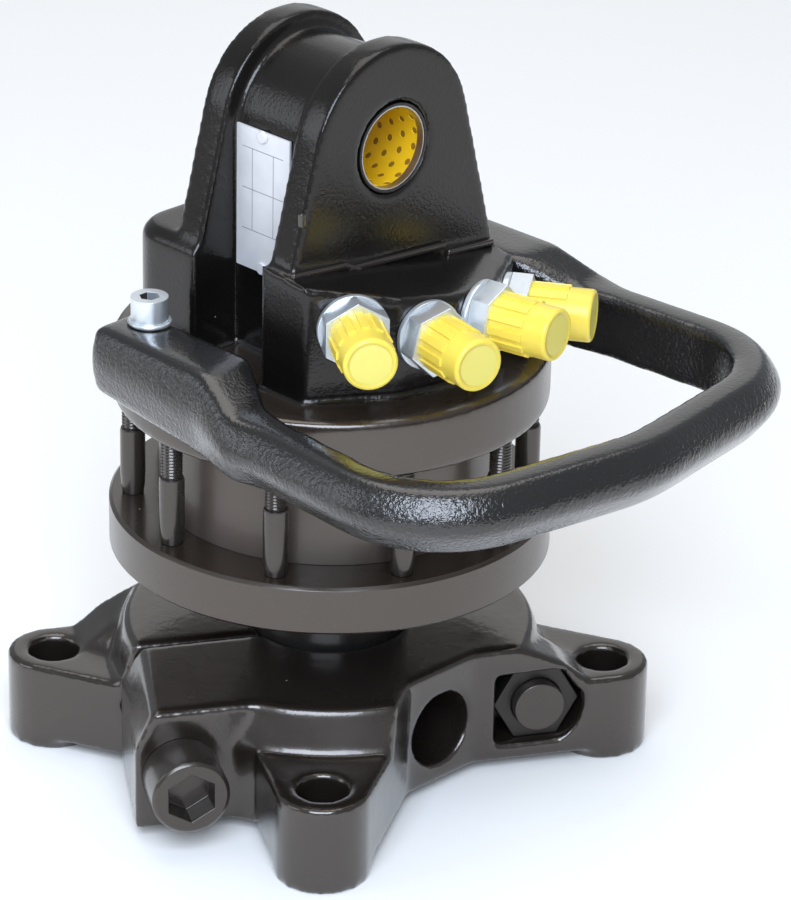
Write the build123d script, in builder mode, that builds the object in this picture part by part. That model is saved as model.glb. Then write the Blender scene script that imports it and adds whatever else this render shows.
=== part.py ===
from build123d import *
from math import asin, cos, degrees, radians, sin, sqrt, tan
import os

# Hydraulic grapple rotator. Millimetres, +Z up along the rotation axis.
# The origin is the centre of the four mounting holes, on the hub's lower face.
# The hoses plug in at the front (-Y), and the crane's link pin lies along Y.

os.makedirs("parts", exist_ok=True)

# Heights of the stack, each from the top of the one before it
hub_height = 42.9
neck_gap = 27.2
lower_flange_height = 15.7
ring_height = 34.3
head_flange_height = 18.9
eye_rise = 67.0

# Clamp hub
bolt_circle = 173.0
lobe_radius = 14.5
lobe_height = 28.9
lobe_root_reach = 50.0
lobe_trim = 2.0
mounting_hole_diameter = 15.5
hub_disc_radius = 64.0
hub_disc_flare = 4.5
arch_height = 3.6
clamp_angle = 30.0
clamp_spacing = 118.0
slit_offset = 8.6
slit_width = 0.8
slit_root_reach = 67.0
boss_reach = 53.5
boss_wall = 5.5
boss_flare = 4.5
boss_slope_height = 12.0
boss_slope_near = 5.5
boss_slope_far = 8.0
access_face_reach = 50.9
access_face_width = 29.0
access_face_round = 10.0
access_hole_diameter = 24.0
rib_height = 5.4
rib_depth = 4.0

# Clamp screws and nuts
clamp_screw_diameter = 16.0
clamp_screw_head = 24.0
clamp_screw_socket = 14.0
clamp_screw_length = 90.0
clamp_hole_play = 1.0
nut_width = 24.0
nut_height = 13.0
nut_recess = 4.0
spot_face_depth = 0.5
spot_face_margin = 2.4
screw_edge = 1.0

# Rotor shaft
neck_radius = 24.75
spline_teeth = 24
spline_depth = 1.5
spline_root_share = 0.3
spline_tip_share = 0.16
shaft_recess = 2.0
access_rim = 1.4
neck_step = 3.0
rotor_radius = 37.5
spigot_radius = 16.95
spigot_rise = 33.0
feed_groove_width = 6.0
feed_groove_depth = 2.6
seal_width = 2.8
seal_depth = 2.6
channel_offset = 8.0
channel_radius = 4.0
cross_hole_radius = 2.5
hose_port_radius = 8.3
hose_port_depth = 12.0
plug_length = 8.0

# Vane motor
motor_radius = 53.0
cam_long = 43.0
cam_short = 38.0
vane_count = 8
vane_thickness = 4.0
vane_depth = 10.5
vane_slot_depth = 12.4
spring_thickness = 0.4
spring_inset = 1.6
ring_seal_radius = 46.4
ring_seal_width = 2.0
dowel_circle = 100.0
dowel_radius = 2.0
dowel_bite = 8.0

# Flanges, bushes and tie bolts
lower_flange_radius = 68.5
head_flange_radius = 67.1
flange_chamfer = 1.0
bush_wall = 3.0
thrust_thickness = 2.0
thrust_width = 11.0
wiper_height = 5.0
wiper_wall = 5.2
tie_bolt_count = 10
tie_bolt_circle = 122.0
tie_bolt_first = 12.5
tie_bolt_diameter = 6.0
tie_bolt_head = 10.0
tie_bolt_head_sink = 0.3
tie_bolt_bite = 16.0

# Head casting
lug_half_length = 25.0
rim_thickness = 10.5
lug_radius = 31.8
lug_lean = 15.0
head_half_width = 44.0
web_half_width = 26.5
web_round = 3.0
rear_block_reach = 45.0
rear_block_rise = 36.0
rear_block_chamfer = 3.0
rear_block_corner = 12.5
bush_outer_radius = 14.0
eye_radius = 12.5
facet_reach = 52.0
block_rise = 31.2
block_side_slope = 0.152
block_front_slope = 0.107

# Hose ports, from left to right as seen from the front
port_angles = (-33.0, -12.0, 12.0, 33.0)
port_shifts = (-4.5, 0.0, 0.0, 4.5)
port_rises = (24.0, 19.0, 19.0, 12.0)
port_radius = 6.6
port_depth = 14.0
feed_radius = 2.5
drop_radius = 2.2
washer_radius = 10.75
washer_thickness = 2.0
adapter_width = 19.0
adapter_hex_height = 6.5
adapter_bore = 3.2
adapter_thread_start = 4.0
adapter_cap_room = 2.0
adapter_turns = (30.0, 15.0, 15.0, 15.0)
cap_length = 19.3
cap_radius = 8.7
cap_grip_length = 11.5
cap_nose_radius = 8.1
cap_roof = 2.2
cap_ribs = 12
cap_rib_width = 2.4
cap_rib_height = 0.6
cap_nose_round = 1.2

# Nameplate
plate_width = 22.7
plate_height = 45.0
plate_thickness = 0.8
plate_drop = 18.25
plate_shift = 2.3
rivet_radius = 1.2
rivet_head_radius = 2.2
rivet_head_height = 0.9
rivet_length = 4.0
rivet_inset = 1.6
rivet_head_taper = 20.0

# Hose guard
guard_bow_top = 8.5
guard_bow_height = 21.0
guard_bow_ridge = 10.5
guard_bow_bulge = 17.0
guard_bow_foot = 8.0
guard_bulge_rise = 1.0
guard_edge_round = 1.2
guard_bulge_round = 5.0
guard_foot_round = 2.5
guard_slope_spot = (64.5, -39.5)
guard_bow_start = (67.0, -50.0)
guard_bow_corner = (71.3, -110.4)
guard_bow_nose = -122.0
guard_corner_radius = 27.0
guard_nose_radius = 60.0
guard_pad_height = 16.0
guard_pad_inner = 55.0
guard_pad_outer = 74.5
guard_pad_bulge = 2.5
guard_pad_flare = 1.0
guard_pad_front = -22.5
guard_pad_rear = 25.5
guard_lip_drop_front = 11.0
guard_lip_drop_rear = 6.0
guard_screw_x = 61.0
guard_screw_y = 15.0
guard_screw_diameter = 6.0
guard_screw_head = 11.3
guard_screw_head_height = 7.3
guard_screw_socket = 5.5
guard_screw_bite = 12.0
guard_washer_radius = 6.65
guard_washer_height = 1.3

# Clearances, and how far a cut runs on past the face it leaves by
running_gap = 0.05
fit_gap = 0.02
end_gap = 0.15
seat_gap = 0.3
spline_gap = 0.1
bolt_play = 0.3
thread_gap = 0.05
cap_gap = 0.15
overrun = 1.0

# Heights that follow from the stack
lower_flange_bottom = hub_height + neck_gap
ring_bottom = lower_flange_bottom + lower_flange_height
ring_top = ring_bottom + ring_height
head_top = ring_top + head_flange_height
eye_height = head_top + eye_rise
hub_middle = hub_height / 2

# The hub's parting plane is turned from the head's front by the clamp angle.
# In this plane local x points along the clamp screws and local y across them.
hub_plane = Plane(
    origin=(0, 0, 0),
    x_dir=(-sin(radians(clamp_angle)), -cos(radians(clamp_angle)), 0),
    z_dir=(0, 0, 1),
)
lobe_turn = 45.0 - clamp_angle
lobe_near = bolt_circle / 2 * cos(radians(lobe_turn))
lobe_side = bolt_circle / 2 * sin(radians(lobe_turn))
nut_wall = lobe_side + lobe_radius
near_lobe = (lobe_near, -lobe_side)
far_lobe = (lobe_side, lobe_near)
access_turn = 90.0 - clamp_angle


def spline_points(gap):
    """Corners of the shaft's straight-sided serration, grown outwards by a gap."""
    tip = neck_radius + gap
    root = neck_radius - spline_depth + gap
    pitch = 360 / spline_teeth
    points = []
    for tooth in range(spline_teeth):
        for radius, turn in (
            (root, -spline_root_share),
            (tip, -spline_tip_share),
            (tip, spline_tip_share),
            (root, spline_root_share),
        ):
            angle = radians(pitch * (tooth + turn))
            points.append((radius * cos(angle), radius * sin(angle)))
    return points


def ring_groove(radius, height, width, depth):
    """Four profile points of a square groove turned into a shaft."""
    return [
        (radius, height - width / 2),
        (radius - depth, height - width / 2),
        (radius - depth, height + width / 2),
        (radius, height + width / 2),
    ]


def ring_profile(inner, outer, bottom, top):
    """Rectangular section of a ring, beside the rotation axis."""
    with BuildSketch(Plane.XZ) as profile:
        with BuildLine():
            Polyline((inner, bottom), (outer, bottom), (outer, top), (inner, top), close=True)
        make_face()
    return profile.sketch


def tie_bolt_spots():
    """Places of the tie bolts, counted from the front."""
    return PolarLocations(tie_bolt_circle / 2, tie_bolt_count, start_angle=tie_bolt_first - 90)


def export(builder, label):
    """Name a finished piece and write it out."""
    builder.part.label = label
    export_step(builder.part, f"parts/{label}.step")


# Rotor shaft: splined foot, neck, slotted rotor and swivel spigot in one turned piece.
# A rib of the hub sits in its groove and carries the pull of the grapple.
shaft_end = shaft_recess
groove_bottom = hub_middle + access_hole_diameter / 2 + access_rim
groove_top = groove_bottom + rib_height
rib_radius = neck_radius - rib_depth
rotor_bottom = ring_bottom + end_gap
rotor_top = ring_top - end_gap
neck_top = head_top - neck_step - seat_gap
spigot_top = head_top + spigot_rise
feed_heights = (head_top + port_rises[0], head_top + port_rises[3])
seal_step = (feed_heights[0] - feed_heights[1]) / 2
seal_heights = (
    feed_heights[1] - seal_step,
    feed_heights[1] + seal_step,
    feed_heights[0] + seal_step,
)

with BuildPart() as rotor_shaft:
    with BuildSketch(Plane.XY.offset(shaft_end)):
        with BuildLine():
            Polyline(*spline_points(0), close=True)
        make_face()
    extrude(amount=groove_bottom - shaft_end)
    with BuildSketch(Plane.XZ):
        with BuildLine():
            Polyline(
                (0, groove_bottom),
                (rib_radius - running_gap, groove_bottom),
                (rib_radius - running_gap, groove_top),
                (neck_radius, groove_top),
                (neck_radius, rotor_bottom),
                (rotor_radius, rotor_bottom),
                (rotor_radius, rotor_top),
                (neck_radius, rotor_top),
                (neck_radius, neck_top),
                (spigot_radius, neck_top),
                *ring_groove(spigot_radius, seal_heights[0], seal_width, seal_depth),
                *ring_groove(spigot_radius, feed_heights[1], feed_groove_width, feed_groove_depth),
                *ring_groove(spigot_radius, seal_heights[1], seal_width, seal_depth),
                *ring_groove(spigot_radius, feed_heights[0], feed_groove_width, feed_groove_depth),
                *ring_groove(spigot_radius, seal_heights[2], seal_width, seal_depth),
                (spigot_radius, spigot_top),
                (0, spigot_top),
                close=True,
            )
        make_face()
    revolve(axis=Axis.Z)
    # One slot for each vane
    with BuildSketch(Plane.XY.offset(rotor_bottom)):
        with PolarLocations(rotor_radius - vane_slot_depth / 2 + overrun, vane_count):
            Rectangle(vane_slot_depth + 2 * overrun, vane_thickness + 2 * spline_gap)
    extrude(amount=rotor_top - rotor_bottom, mode=Mode.SUBTRACT)
    # Two drillings run down from the feed grooves to the hose ports in the splined foot
    for side, feed_height in zip((-1, 1), feed_heights):
        with BuildSketch(Plane.XY.offset(shaft_end)):
            with Locations((0, side * channel_offset)):
                Circle(channel_radius)
        extrude(amount=feed_height - shaft_end, mode=Mode.SUBTRACT)
        with BuildSketch(Plane((0, 0, feed_height), x_dir=(1, 0, 0), z_dir=(0, side, 0))):
            Circle(cross_hole_radius)
        extrude(amount=spigot_radius, mode=Mode.SUBTRACT)
        port_floor = neck_radius - hose_port_depth
        with BuildSketch(Plane((0, side * port_floor, hub_middle), x_dir=(1, 0, 0), z_dir=(0, side, 0))):
            Circle(hose_port_radius)
        extrude(amount=hose_port_depth + overrun, mode=Mode.SUBTRACT)
        with BuildSketch(Plane((0, side * channel_offset, hub_middle), x_dir=(1, 0, 0), z_dir=(0, side, 0))):
            Circle(cross_hole_radius)
        extrude(amount=port_floor - channel_offset, mode=Mode.SUBTRACT)
export(rotor_shaft, "rotor_shaft")

# Plugs close the lower ends of the two drillings
with BuildPart() as shaft_plugs:
    with BuildSketch(Plane.XY.offset(shaft_end)):
        with Locations((0, -channel_offset), (0, channel_offset)):
            Circle(channel_radius - fit_gap)
            RegularPolygon(channel_radius / 2, 6, mode=Mode.SUBTRACT)
    extrude(amount=plug_length / 2)
    with BuildSketch(Plane.XY.offset(shaft_end + plug_length / 2)):
        with Locations((0, -channel_offset), (0, channel_offset)):
            Circle(channel_radius - fit_gap)
    extrude(amount=plug_length / 2)
export(shaft_plugs, "shaft_plugs")

# Swivel seals: three square rings around the spigot, one beside each feed groove
with BuildPart() as swivel_seals:
    for height in seal_heights:
        seal_profile = ring_profile(
            spigot_radius - seal_depth + fit_gap,
            spigot_radius,
            height - seal_width / 2 + fit_gap,
            height + seal_width / 2 - fit_gap,
        )
        revolve(seal_profile, axis=Axis.Z)
export(swivel_seals, "swivel_seals")

# Vanes, shown pressed in level with the rotor
vane_inner = rotor_radius + fit_gap - vane_depth
with BuildPart() as vanes:
    with BuildSketch(Plane.XY.offset(rotor_bottom + fit_gap)):
        with PolarLocations(vane_inner + vane_depth / 2, vane_count):
            Rectangle(vane_depth, vane_thickness)
    extrude(amount=rotor_top - rotor_bottom - 2 * fit_gap)
    upright = vanes.edges().filter_by(Axis.Z)
    tips = upright.filter_by(lambda edge: Vector(edge.center().X, edge.center().Y).length > rotor_radius - 1)
    chamfer(tips, length=vane_thickness / 4)
export(vanes, "vanes")

# A bowed leaf spring behind each vane
spring_floor = rotor_radius - vane_slot_depth + fit_gap
spring_crest = vane_inner - fit_gap
with BuildPart() as vane_springs:
    low = rotor_bottom + spring_inset
    high = rotor_top - spring_inset
    middle = (low + high) / 2
    with BuildSketch(Plane.XZ):
        with BuildLine():
            ThreePointArc(
                (spring_floor, low),
                (spring_crest - spring_thickness, middle),
                (spring_floor, high),
            )
            Line((spring_floor, high), (spring_floor + spring_thickness, high))
            ThreePointArc(
                (spring_floor + spring_thickness, high),
                (spring_crest, middle),
                (spring_floor + spring_thickness, low),
            )
            Line((spring_floor + spring_thickness, low), (spring_floor, low))
        make_face()
    extrude(amount=(vane_thickness - spline_gap) / 2, both=True)
with BuildPart() as vane_spring_set:
    with PolarLocations(0, vane_count):
        add(vane_springs.part)
export(vane_spring_set, "vane_springs")


# Clamp hub: two identical halves drawn together over the shaft's splined foot
hub_cut = 2 * bolt_circle
slit_here = slit_offset + slit_width / 2
slit_there = slit_offset - slit_width / 2
flat_near = (
    access_face_reach * sin(radians(access_turn)) + access_face_width / 2 * cos(radians(access_turn)),
    access_face_reach * cos(radians(access_turn)) - access_face_width / 2 * sin(radians(access_turn)),
)
nut_corner = (
    nut_wall,
    (access_face_reach - nut_wall * sin(radians(access_turn))) / cos(radians(access_turn)),
)
boss_outer = (clamp_spacing + clamp_screw_diameter + clamp_hole_play) / 2 + boss_wall
boss_clear = boss_outer + lobe_radius
hub_foot_radius = hub_disc_radius + hub_disc_flare
# The near lobe's flank runs from the access face along a tangent of the lobe's end. The
# lobe is drawn a little proud of it and trimmed back by the cut in front of the face.
flank_start = Vector(*flat_near)
flank_reach = Vector(*near_lobe) - flank_start
flank_turn = degrees(asin(lobe_radius / flank_reach.length))
flank_end = flank_start + flank_reach.rotate(Axis.Z, flank_turn).normalized() * hub_cut
flank_proud = flank_start + flank_reach.rotate(Axis.Z, 90).normalized() * lobe_trim


def boss_outline():
    """Plan of the boss under the clamp screw's head."""
    with BuildSketch(hub_plane.offset(arch_height)) as outline:
        with BuildLine():
            Polyline(
                (0, -clamp_spacing / 4),
                (0, boss_flare - boss_outer),
                (slit_here, boss_flare - boss_outer),
                (boss_reach, -boss_outer),
                (boss_reach, -clamp_spacing / 4),
                close=True,
            )
        make_face()
    return outline.sketch


def access_outline():
    """Plan of what stays open in front of the access face and the nut wall."""
    with BuildSketch(hub_plane) as outline:
        with BuildLine():
            FilletPolyline(
                flank_end,
                flat_near,
                nut_corner,
                (nut_wall, hub_cut),
                radius=access_face_round,
            )
            Polyline((nut_wall, hub_cut), (2 * hub_cut, hub_cut), flank_end)
        make_face()
    return outline.sketch


with BuildPart() as hub_half_front:
    # Disc up to the lobes' tops, then tapering to its top face, with the screw's boss
    with BuildSketch(Plane.XZ):
        with BuildLine():
            Polyline(
                (0, arch_height),
                (hub_foot_radius, arch_height),
                (hub_foot_radius, lobe_height),
                (hub_disc_radius, hub_height),
                (0, hub_height),
                close=True,
            )
        make_face()
    revolve(axis=Axis.Z)
    extrude(boss_outline(), amount=hub_height - arch_height)
    # The boss's outer side leans in over its upper part
    for reach, edge, slope in (
        (0, boss_outer - boss_flare, boss_slope_far),
        (boss_reach, boss_outer, boss_slope_near),
    ):
        start = hub_plane.from_local_coords(Vector(reach, 0, hub_height))
        with BuildSketch(Plane(start, x_dir=-hub_plane.y_dir, z_dir=hub_plane.x_dir)):
            with BuildLine():
                Polyline(
                    (edge - slope, 0),
                    (edge, boss_slope_height),
                    (boss_clear, boss_slope_height),
                    (boss_clear, 0),
                    close=True,
                )
            make_face()
    loft(ruled=True, mode=Mode.SUBTRACT)
    # Two lobes with a wide root
    with BuildSketch(hub_plane.offset(arch_height)):
        with BuildLine():
            CenterArc(near_lobe, lobe_radius, 0, 360)
            Line((lobe_root_reach, -nut_wall), flank_proud)
        make_hull()
    extrude(amount=lobe_height - arch_height)
    with BuildSketch(hub_plane.offset(arch_height)):
        with BuildLine():
            CenterArc(far_lobe, lobe_radius, 0, 360)
            Polyline(nut_corner, (-slit_there, nut_corner[1]), (-slit_there, slit_root_reach))
        make_hull()
    extrude(amount=lobe_height - arch_height)
    # The room in front of the access face and the nut wall, with cast corners
    extrude(access_outline(), amount=hub_height, mode=Mode.SUBTRACT)
    # Round pads under the lobes
    with BuildSketch(hub_plane):
        with Locations(near_lobe, far_lobe):
            Circle(lobe_radius)
    extrude(amount=arch_height)
    # The other half's side of the parting slit
    with BuildSketch(hub_plane):
        with BuildLine():
            Polyline(
                (-hub_cut, -hub_cut),
                (slit_here, -hub_cut),
                (slit_here, 0),
                (-slit_there, 0),
                (-slit_there, hub_cut),
                (-hub_cut, hub_cut),
                close=True,
            )
        make_face()
    extrude(amount=hub_height, mode=Mode.SUBTRACT)
    # Splined bore, then the rib, then a plain bore round the neck
    with BuildSketch(Plane.XY):
        with BuildLine():
            Polyline(*spline_points(spline_gap), close=True)
        make_face()
    extrude(amount=groove_bottom + running_gap, mode=Mode.SUBTRACT)
    with BuildSketch(Plane.XY.offset(groove_bottom)):
        Circle(rib_radius)
    extrude(amount=rib_height, mode=Mode.SUBTRACT)
    with BuildSketch(Plane.XY.offset(groove_top - running_gap)):
        Circle(neck_radius + seat_gap)
    extrude(amount=hub_height, mode=Mode.SUBTRACT)
    # Mounting holes
    with BuildSketch(hub_plane):
        with Locations(near_lobe, far_lobe):
            Circle(mounting_hole_diameter / 2)
    extrude(amount=lobe_height, mode=Mode.SUBTRACT)
    # Access hole to the shaft's hose port
    with BuildSketch(Plane((0, 0, hub_middle), x_dir=(1, 0, 0), z_dir=(0, -1, 0))):
        Circle(access_hole_diameter / 2)
    extrude(amount=hub_disc_radius, mode=Mode.SUBTRACT)
    # Clamp screw hole with its spot face, on the boss
    screw_row = hub_plane.from_local_coords(Vector(0, -clamp_spacing / 2, hub_middle))
    nut_row = hub_plane.from_local_coords(Vector(0, clamp_spacing / 2, hub_middle))
    hole_radius = clamp_screw_diameter / 2 + clamp_hole_play / 2
    for row in (screw_row, nut_row):
        with BuildSketch(Plane(row, x_dir=(0, 0, 1), z_dir=hub_plane.x_dir).offset(-slit_offset * 2)):
            Circle(hole_radius)
        extrude(amount=bolt_circle, mode=Mode.SUBTRACT)
    with BuildSketch(Plane(screw_row, x_dir=(0, 0, 1), z_dir=hub_plane.x_dir).offset(
            boss_reach - spot_face_depth)):
        Circle(clamp_screw_head / 2 + spot_face_margin)
    extrude(amount=spot_face_depth, mode=Mode.SUBTRACT)
    # Nut pocket: flat towards the access face, round at the other end
    half = nut_width / 2 + fit_gap
    corner = nut_width / sqrt(3) + bolt_play
    with BuildSketch(Plane(nut_row, x_dir=hub_plane.y_dir, z_dir=hub_plane.x_dir).offset(
            nut_wall - nut_recess - nut_height)):
        with BuildLine():
            Polyline((corner / 2, half), (-corner, half), (-corner, -half), (corner / 2, -half))
            ThreePointArc((corner / 2, -half), (corner + bolt_play, 0), (corner / 2, half))
        make_face()
    extrude(amount=nut_recess + nut_height + overrun, mode=Mode.SUBTRACT)
export(hub_half_front, "hub_half_front")

with BuildPart() as hub_half_rear:
    add(hub_half_front.part, rotation=(0, 0, 180))
export(hub_half_rear, "hub_half_rear")

# Clamp screws: socket head on one half, nut sunk in the other
screw_seat = boss_reach - spot_face_depth
with BuildPart() as clamp_screw:
    screw_plane = Plane(screw_row, x_dir=(0, 0, 1), z_dir=hub_plane.x_dir).offset(screw_seat)
    with BuildSketch(screw_plane.offset(-clamp_screw_length)):
        Circle(clamp_screw_diameter / 2)
    extrude(amount=clamp_screw_length)
    with BuildSketch(screw_plane):
        Circle(clamp_screw_head / 2)
    extrude(amount=clamp_screw_diameter)
    rings = clamp_screw.edges().filter_by(GeomType.CIRCLE)
    chamfer(rings.sort_by(Axis((0, 0, 0), hub_plane.x_dir))[-1], screw_edge)
    with BuildSketch(screw_plane.offset(clamp_screw_diameter / 2)):
        RegularPolygon(clamp_screw_socket / 2, 6, major_radius=False)
    extrude(amount=clamp_screw_diameter, mode=Mode.SUBTRACT)
with BuildPart() as clamp_bolts:
    add(clamp_screw.part)
    add(clamp_screw.part, rotation=(0, 0, 180))
export(clamp_bolts, "clamp_bolts")

with BuildPart() as clamp_nut:
    nut_plane = Plane(
        screw_row, x_dir=hub_plane.y_dir, z_dir=hub_plane.x_dir
    ).offset(-nut_wall + nut_recess)
    with BuildSketch(nut_plane):
        RegularPolygon(nut_width / 2, 6, major_radius=False, rotation=0)
        Circle(clamp_screw_diameter / 2 + thread_gap, mode=Mode.SUBTRACT)
    extrude(amount=nut_height)
with BuildPart() as clamp_nuts:
    add(clamp_nut.part)
    add(clamp_nut.part, rotation=(0, 0, 180))
export(clamp_nuts, "clamp_nuts")

# Lower flange: carries the neck's bush, the thrust washer and the wiper
bush_radius = neck_radius + running_gap + bush_wall
thrust_inner = neck_radius + seat_gap
thrust_outer = thrust_inner + thrust_width
wiper_outer = neck_radius + running_gap + wiper_wall
with BuildPart() as lower_flange:
    with BuildSketch(Plane.XY.offset(lower_flange_bottom)):
        Circle(lower_flange_radius)
    extrude(amount=lower_flange_height)
    chamfer(lower_flange.edges().filter_by(GeomType.CIRCLE), flange_chamfer)
    with BuildSketch(Plane.XY.offset(lower_flange_bottom)):
        Circle(bush_radius + fit_gap)
    extrude(amount=lower_flange_height, mode=Mode.SUBTRACT)
    with BuildSketch(Plane.XY.offset(lower_flange_bottom)):
        Circle(wiper_outer + fit_gap)
    extrude(amount=wiper_height, mode=Mode.SUBTRACT)
    with BuildSketch(Plane.XY.offset(ring_bottom - thrust_thickness)):
        Circle(thrust_outer + fit_gap)
    extrude(amount=thrust_thickness, mode=Mode.SUBTRACT)
    with BuildSketch(Plane.XY.offset(lower_flange_bottom)):
        with tie_bolt_spots():
            Circle(tie_bolt_diameter / 2 + bolt_play)
    extrude(amount=lower_flange_height, mode=Mode.SUBTRACT)
    with BuildSketch(Plane.XY.offset(lower_flange_bottom)):
        with tie_bolt_spots():
            Circle(tie_bolt_head / 2 + bolt_play)
    extrude(amount=tie_bolt_head_sink + tie_bolt_diameter, mode=Mode.SUBTRACT)
    with BuildSketch(Plane.XY.offset(ring_bottom - dowel_bite)):
        with Locations((dowel_circle / 2, 0), (-dowel_circle / 2, 0)):
            Circle(dowel_radius + fit_gap)
    extrude(amount=dowel_bite, mode=Mode.SUBTRACT)
export(lower_flange, "lower_flange")

# Cam ring: round outside, oval inside, with a seal groove in each end
with BuildPart() as cam_ring:
    with BuildSketch(Plane.XY.offset(ring_bottom)):
        Circle(motor_radius)
        Ellipse(cam_short, cam_long, mode=Mode.SUBTRACT)
        with Locations((dowel_circle / 2, 0), (-dowel_circle / 2, 0)):
            Circle(dowel_radius + fit_gap, mode=Mode.SUBTRACT)
    extrude(amount=ring_height)
    for height in (ring_bottom, ring_top - ring_seal_width):
        with BuildSketch(Plane.XY.offset(height)):
            Circle(ring_seal_radius + ring_seal_width / 2 + fit_gap)
            Circle(ring_seal_radius - ring_seal_width / 2 - fit_gap, mode=Mode.SUBTRACT)
        extrude(amount=ring_seal_width, mode=Mode.SUBTRACT)
export(cam_ring, "cam_ring")

with BuildPart() as ring_seals:
    for height in (ring_bottom, ring_top - ring_seal_width):
        seal_profile = ring_profile(
            ring_seal_radius - ring_seal_width / 2,
            ring_seal_radius + ring_seal_width / 2,
            height,
            height + ring_seal_width,
        )
        revolve(seal_profile, axis=Axis.Z)
export(ring_seals, "ring_seals")

with BuildPart() as dowel_pins:
    with BuildSketch(Plane.XY.offset(ring_bottom - dowel_bite)):
        with Locations((dowel_circle / 2, 0), (-dowel_circle / 2, 0)):
            Circle(dowel_radius)
    extrude(amount=ring_height + 2 * dowel_bite)
export(dowel_pins, "dowel_pins")

# Bearings round the shaft's neck, below and above the rotor
neck_bore = neck_radius + running_gap
with BuildPart() as lower_bush:
    bush_bottom = lower_flange_bottom + wiper_height
    bush_top = ring_bottom - thrust_thickness
    revolve(ring_profile(neck_bore, bush_radius, bush_bottom, bush_top), axis=Axis.Z)
export(lower_bush, "lower_bush")

with BuildPart() as lower_thrust_washer:
    revolve(ring_profile(thrust_inner, thrust_outer, bush_top, ring_bottom), axis=Axis.Z)
export(lower_thrust_washer, "lower_thrust_washer")

with BuildPart() as upper_bush:
    upper_start = ring_top + thrust_thickness
    revolve(ring_profile(neck_bore, bush_radius, upper_start, neck_top + seat_gap), axis=Axis.Z)
export(upper_bush, "upper_bush")

with BuildPart() as upper_thrust_washer:
    revolve(ring_profile(thrust_inner, thrust_outer, ring_top, upper_start), axis=Axis.Z)
export(upper_thrust_washer, "upper_thrust_washer")

with BuildPart() as wiper_seal:
    revolve(ring_profile(neck_bore, wiper_outer, lower_flange_bottom, bush_bottom), axis=Axis.Z)
export(wiper_seal, "wiper_seal")

# Tie bolts: through the lower flange, past the ring and into the head
tie_head_bottom = lower_flange_bottom + tie_bolt_head_sink
with BuildPart() as tie_bolts:
    with BuildSketch(Plane.XY.offset(tie_head_bottom)):
        with tie_bolt_spots():
            Circle(tie_bolt_head / 2)
            RegularPolygon(tie_bolt_head / 4, 6, major_radius=False, mode=Mode.SUBTRACT)
    extrude(amount=tie_bolt_diameter / 2)
    with BuildSketch(Plane.XY.offset(tie_head_bottom + tie_bolt_diameter / 2)):
        with tie_bolt_spots():
            Circle(tie_bolt_head / 2)
    extrude(amount=tie_bolt_diameter / 2)
    with BuildSketch(Plane.XY.offset(tie_head_bottom + tie_bolt_diameter)):
        with tie_bolt_spots():
            Circle(tie_bolt_diameter / 2)
    extrude(amount=ring_top + tie_bolt_bite - tie_head_bottom - tie_bolt_diameter)
export(tie_bolts, "tie_bolts")


# Head casting: flange, slotted lug for the crane's link, port block and rear block
def port_plane(index):
    """Plane on the casting's facet, centred on a port and facing outwards."""
    angle = radians(port_angles[index])
    outward = Vector(sin(angle), -cos(angle), 0)
    along = Vector(cos(angle), sin(angle), 0)
    centre = outward * facet_reach + along * port_shifts[index]
    return Plane(centre + Vector(0, 0, head_top + port_rises[index]), x_dir=along, z_dir=outward)


def facet_corner(turn, spread):
    """Meeting point of two facets at equal angles to a direction."""
    reach = facet_reach / cos(radians(spread))
    return (reach * sin(radians(turn)), -reach * cos(radians(turn)))


outer_facet = radians(port_angles[3])
side_corner_y = -(facet_reach - head_half_width * sin(outer_facet)) / cos(outer_facet)
half_step = (port_angles[3] - port_angles[2]) / 2
middle_turn = (port_angles[3] + port_angles[2]) / 2
lean = radians(lug_lean)
flank_x = lug_radius * cos(lean)
flank_z = eye_height + lug_radius * sin(lean)
lug_foot = flank_x + (flank_z - head_top) * tan(lean)
rim_inner = lug_half_length - rim_thickness

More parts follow.
